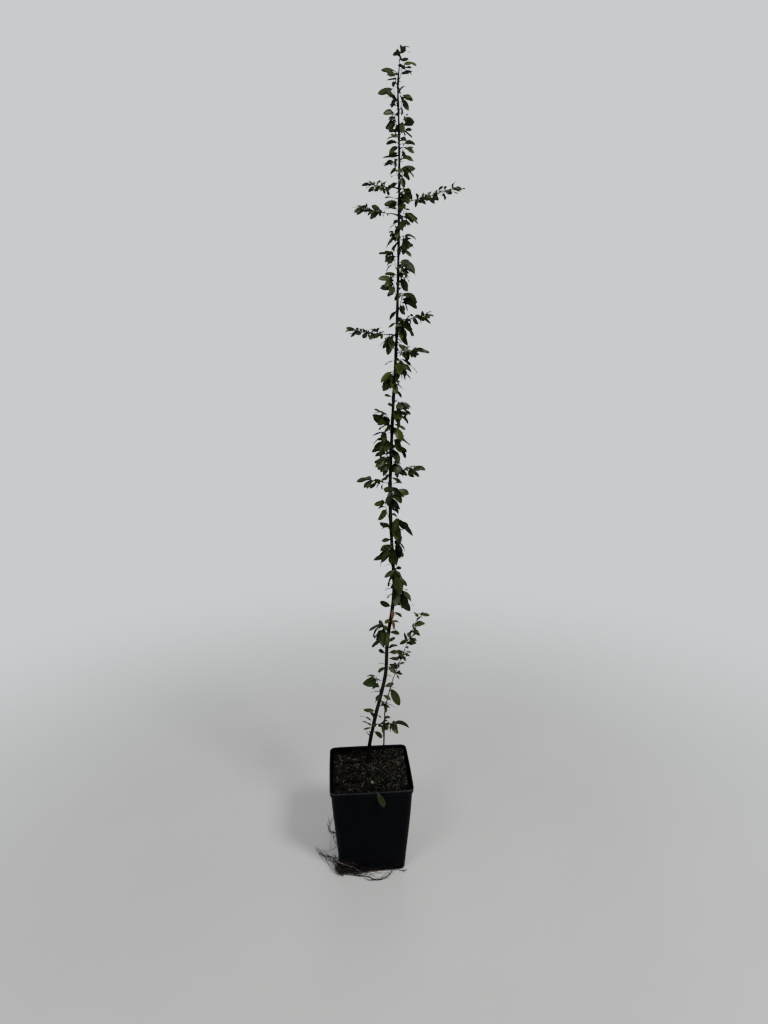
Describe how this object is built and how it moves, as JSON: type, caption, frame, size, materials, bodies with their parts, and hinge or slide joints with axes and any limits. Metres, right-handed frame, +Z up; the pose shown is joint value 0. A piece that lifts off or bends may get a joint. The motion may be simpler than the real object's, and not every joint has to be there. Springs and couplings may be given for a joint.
{
  "type": "potted firethorn shrub",
  "caption": "Young firethorn grown as one tall thorny leader with short leafy spurs and side shoots, in a square black nursery pot of compost.",
  "frame": {"origin": "middle of the pot's flat underside", "axes": "+Z up along the leader, -Y towards the front of the pot, +X to the right"},
  "size_m": [0.222, 0.1456, 1.1419],
  "materials": {
    "pot": "satin black moulded polypropylene, slightly scuffed",
    "compost": "dark moist bark and peat compost with a few mossy and pale grains",
    "bark": "thin smooth dark brown bark with raised pores and scars",
    "twig": "dark reddish brown young bark",
    "roots": "dry brown fibrous roots",
    "foliage": "small leathery evergreen leaves, half glossy above and paler beneath"
  },
  "bodies": {
    "root": {"pot": "pot", "compost": "compost", "main_stem": "bark", "second_stem": "bark", "floor_roots": "roots", "upper_left_bough": "twig", "upper_right_bough": "twig", "lower_left_bough": "twig", "middle_right_bough": "twig", "middle_left_bough": "twig", "upper_left_leaves": "foliage", "upper_right_leaves": "foliage", "lower_left_leaves": "foliage", "middle_right_leaves": "foliage", "middle_left_leaves": "foliage", "tip_leaves": "foliage", "second_stem_leaves": "foliage", "leader_leaves_01": "foliage", "leader_leaves_02": "foliage", "leader_leaves_03": "foliage", "leader_leaves_04": "foliage", "leader_leaves_05": "foliage", "leader_leaves_06": "foliage", "leader_leaves_07": "foliage", "leader_leaves_08": "foliage", "leader_leaves_09": "foliage", "leader_leaves_10": "foliage", "leader_leaves_11": "foliage", "leader_leaves_12": "foliage", "leader_leaves_13": "foliage", "leader_leaves_14": "foliage", "leader_leaves_15": "foliage", "leader_leaves_16": "foliage", "leader_leaves_17": "foliage", "leader_leaves_18": "foliage", "leader_leaves_19": "foliage", "leader_leaves_20": "foliage", "leader_leaves_21": "foliage", "leader_leaves_22": "foliage", "leader_leaves_23": "foliage", "leader_leaves_24": "foliage", "leader_leaves_25": "foliage", "leader_leaves_26": "foliage", "leader_leaves_27": "foliage", "leader_leaves_28": "foliage", "leader_leaves_29": "foliage", "leader_leaves_30": "foliage", "leader_leaves_31": "foliage", "leader_leaves_32": "foliage", "leader_leaves_33": "foliage", "leader_leaves_34": "foliage", "leader_leaves_35": "foliage", "leader_leaves_36": "foliage", "leader_leaves_37": "foliage", "leader_leaves_38": "foliage", "leader_leaves_39": "foliage", "leader_leaves_40": "foliage", "leader_leaves_41": "foliage", "leader_leaves_42": "foliage", "low_shoot_leaves": "foliage"}
  },
  "joints": []
}
